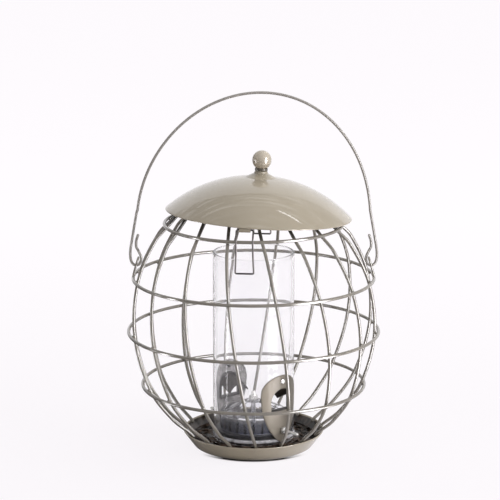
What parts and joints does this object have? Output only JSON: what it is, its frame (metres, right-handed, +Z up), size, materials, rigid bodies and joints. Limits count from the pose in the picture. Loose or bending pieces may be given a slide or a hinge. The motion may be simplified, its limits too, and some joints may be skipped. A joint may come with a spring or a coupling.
{
  "type": "squirrel proof bird feeder",
  "caption": "Globe-shaped wire cage on a shallow dish around a clear seed tube, with a domed lid, spring latches and a carrying bail.",
  "frame": {"origin": "middle of the dish's underside, on the surface it stands on", "axes": "+Z up the feeder's middle line, front towards -Y, bail in the XZ plane"},
  "size_m": [0.2334, 0.2334, 0.3314],
  "materials": {
    "enamel": "glossy baked enamel in warm taupe",
    "plate_enamel": "satin enamel in warm taupe",
    "bright_metal": "bright plating",
    "latch_metal": "dull spring wire",
    "dark_plate": "dark enamel",
    "dark_plastic": "moulded, near black",
    "hood_plastic": "moulded, dark brown",
    "clear_plastic": "clear and polished",
    "smoky_plastic": "clear with a smoky tint"
  },
  "bodies": {
    "cage": {"bar_01": "enamel", "bar_02": "enamel", "bar_03": "enamel", "bar_04": "enamel", "bar_05": "enamel", "bar_06": "enamel", "bar_07": "enamel", "bar_08": "enamel", "bar_09": "enamel", "bar_10": "enamel", "bar_11": "enamel", "bar_12": "enamel", "bar_13": "enamel", "bar_14": "enamel", "bar_15": "enamel", "bar_16": "enamel", "drain_plate": "dark_plate", "eyelet_left": "enamel", "eyelet_right": "enamel", "hoop_1": "enamel", "hoop_2": "enamel", "hoop_3": "enamel", "hoop_4": "enamel", "hoop_neck": "enamel", "perch_front": "bright_metal", "perch_nut_front": "bright_metal", "perch_nut_rear": "bright_metal", "perch_rear": "bright_metal", "port_hood_front": "hood_plastic", "port_hood_rear": "hood_plastic", "port_plate_front": "plate_enamel", "port_plate_rear": "plate_enamel", "port_screw_front": "bright_metal", "port_screw_rear": "bright_metal", "seed_deflector": "smoky_plastic", "seed_tube": "clear_plastic", "stud_nut": "bright_metal", "tray": "enamel", "tray_stud": "bright_metal", "tube_plug": "dark_plastic"},
    "bail": {"bail": "enamel"},
    "lid": {"lid_dome": "enamel", "finial_collar": "enamel", "finial_ball": "enamel", "finial_screw": "bright_metal", "latch_bracket_front": "enamel", "latch_bracket_rear": "enamel"},
    "latch_front": {"latch_front": "latch_metal"},
    "latch_rear": {"latch_rear": "latch_metal"}
  },
  "joints": [
    {"name": "bail_swing", "type": "hinge", "parent": "cage", "child": "bail", "pos_m": [0, 0, 0.17], "axis": [1, 0, 0], "range_deg": [-70, 70]},
    {"name": "lid_lift", "type": "slide", "parent": "cage", "child": "lid", "axis": [0, 0, 1], "range_m": [0, 0.042]},
    {"name": "latch_front_swing", "type": "hinge", "parent": "lid", "child": "latch_front", "pos_m": [-0.00777, -0.07781, 0.21995], "axis": [-0.9951, 0.0993, 0], "range_deg": [0, 15]},
    {"name": "latch_rear_swing", "type": "hinge", "parent": "lid", "child": "latch_rear", "pos_m": [0.00777, 0.07781, 0.21983], "axis": [0.9951, -0.0993, 0], "range_deg": [0, 15]}
  ],
  "couplings": [
    {"joint": "latch_front_swing", "follows": "lid_lift", "rad_per_m": 6},
    {"joint": "latch_rear_swing", "follows": "lid_lift", "rad_per_m": 6}
  ]
}
